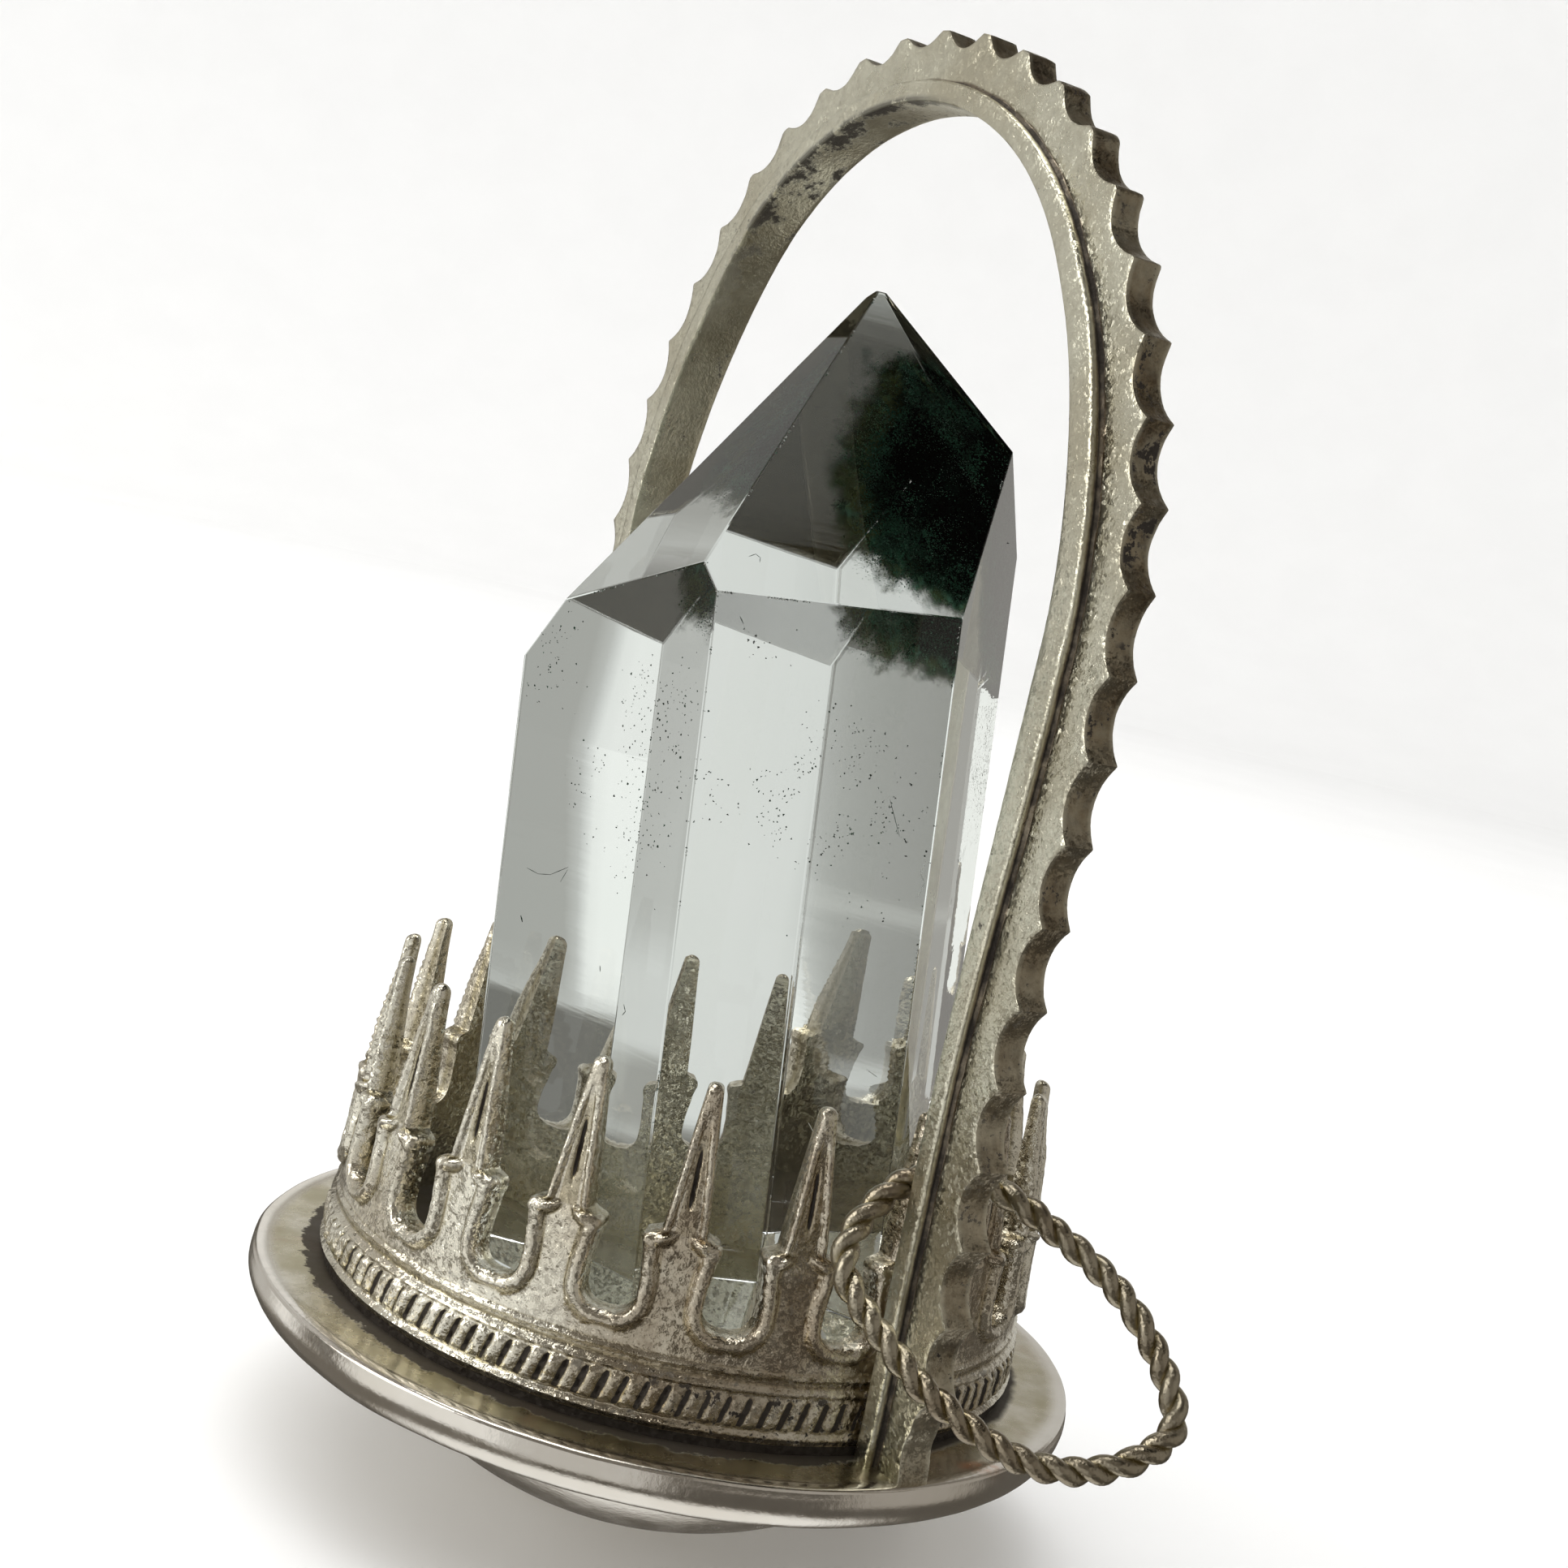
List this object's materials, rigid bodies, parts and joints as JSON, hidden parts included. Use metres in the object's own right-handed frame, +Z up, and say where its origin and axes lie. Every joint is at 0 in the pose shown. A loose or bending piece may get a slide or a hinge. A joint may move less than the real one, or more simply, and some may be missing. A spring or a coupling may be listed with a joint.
{
  "type": "crystal pendant",
  "caption": "Standing quartz point in a silver setting: round dish base, spired crown gallery, scalloped handle arch and a loose twisted wire ring for hanging.",
  "frame": {"origin": "middle of the flat under the dome, where the pendant stands", "axes": "+Z up along the pendant through the top of the arch, +X towards the leg that carries the twisted ring, +Y across the arch's opening, away from the side shown in the picture"},
  "size_m": [0.0388, 0.032, 0.056],
  "materials": {
    "silver": "worn silver, cast and brushed, brown and black tarnish in the recesses",
    "quartz": "polished clear quartz with a dark green phantom under the tip",
    "wire": "dull tarnished twisted silver wire"
  },
  "bodies": {
    "root": {"silver_setting": "silver", "quartz_point": "quartz", "twisted_ring": "wire"}
  },
  "joints": []
}
